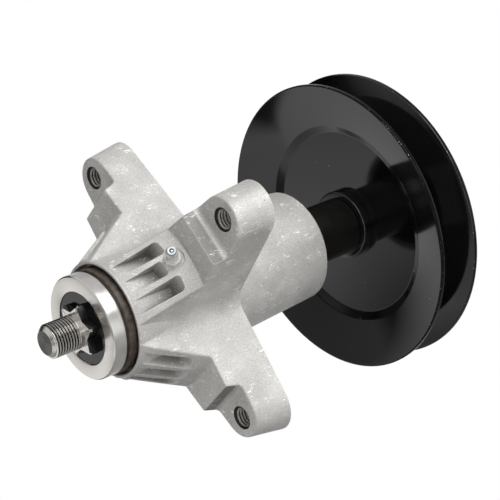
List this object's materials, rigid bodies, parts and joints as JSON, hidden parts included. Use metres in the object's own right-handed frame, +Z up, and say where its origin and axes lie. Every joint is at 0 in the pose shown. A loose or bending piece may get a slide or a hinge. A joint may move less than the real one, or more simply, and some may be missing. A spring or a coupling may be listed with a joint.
{
  "type": "mower deck spindle",
  "caption": "Mower deck spindle: cast housing with ribbed bolt ears, sealed ball bearings, star-ended shaft for the blade and a pressed steel belt pulley.",
  "frame": {"origin": "on the shaft's axis, at the housing's mounting face, where the four deck bolts' circle has its centre", "axes": "+Z up the shaft towards the belt pulley, as the spindle hangs in a mower deck; -Z towards the blade; the ears at 45, 135, 225 and 315 degrees from +X"},
  "size_m": [0.146, 0.146, 0.2076],
  "materials": {
    "cast_aluminium": "as cast",
    "zinc_plate": "bright plated",
    "bearing_steel": "polished",
    "spring_steel": "black oxide",
    "brown_rubber": "satin",
    "turned_steel": "turned",
    "black_plastic": "satin",
    "shaft_steel": "turned",
    "black_sleeve": "satin black",
    "black_paint": "gloss black",
    "cage_nylon": "matt",
    "seal_rubber": "matt"
  },
  "bodies": {
    "housing_body": {"housing": "cast_aluminium", "grease_nipple": "zinc_plate", "grease_check_ball": "bearing_steel", "grease_spring": "bearing_steel", "lower_outer_race": "bearing_steel", "lower_seal_top": "seal_rubber", "lower_seal_bottom": "seal_rubber", "upper_outer_race": "bearing_steel", "upper_seal_top": "seal_rubber", "upper_seal_bottom": "seal_rubber", "lower_snap_ring": "spring_steel", "upper_snap_ring": "spring_steel"},
    "rotor": {"shaft": "shaft_steel", "blade_ring": "turned_steel", "star_plate": "black_plastic", "dust_ring": "brown_rubber", "lower_inner_race": "bearing_steel", "upper_inner_race": "bearing_steel", "bearing_spacer": "turned_steel", "sleeve": "black_sleeve", "pulley_near_sheave": "black_paint", "pulley_far_sheave": "black_paint", "pulley_hub": "black_paint", "pulley_hub_ring": "black_paint", "top_washer": "zinc_plate", "top_nut": "zinc_plate"},
    "lower_ball_set": {"lower_cage": "cage_nylon", "lower_balls": "bearing_steel"},
    "upper_ball_set": {"upper_cage": "cage_nylon", "upper_balls": "bearing_steel"}
  },
  "joints": [
    {"name": "shaft_spin", "type": "hinge", "parent": "housing_body", "child": "rotor", "pos_m": [0, 0, 0], "axis": [0, 0, 1], "continuous": true},
    {"name": "lower_cage_turn", "type": "hinge", "parent": "housing_body", "child": "lower_ball_set", "pos_m": [0, 0, -0.0405], "axis": [0, 0, 1], "continuous": true},
    {"name": "upper_cage_turn", "type": "hinge", "parent": "housing_body", "child": "upper_ball_set", "pos_m": [0, 0, 0.04895], "axis": [0, 0, 1], "continuous": true}
  ],
  "couplings": [
    {"joint": "lower_cage_turn", "follows": "shaft_spin", "ratio": 0.38149},
    {"joint": "upper_cage_turn", "follows": "shaft_spin", "ratio": 0.38149}
  ]
}
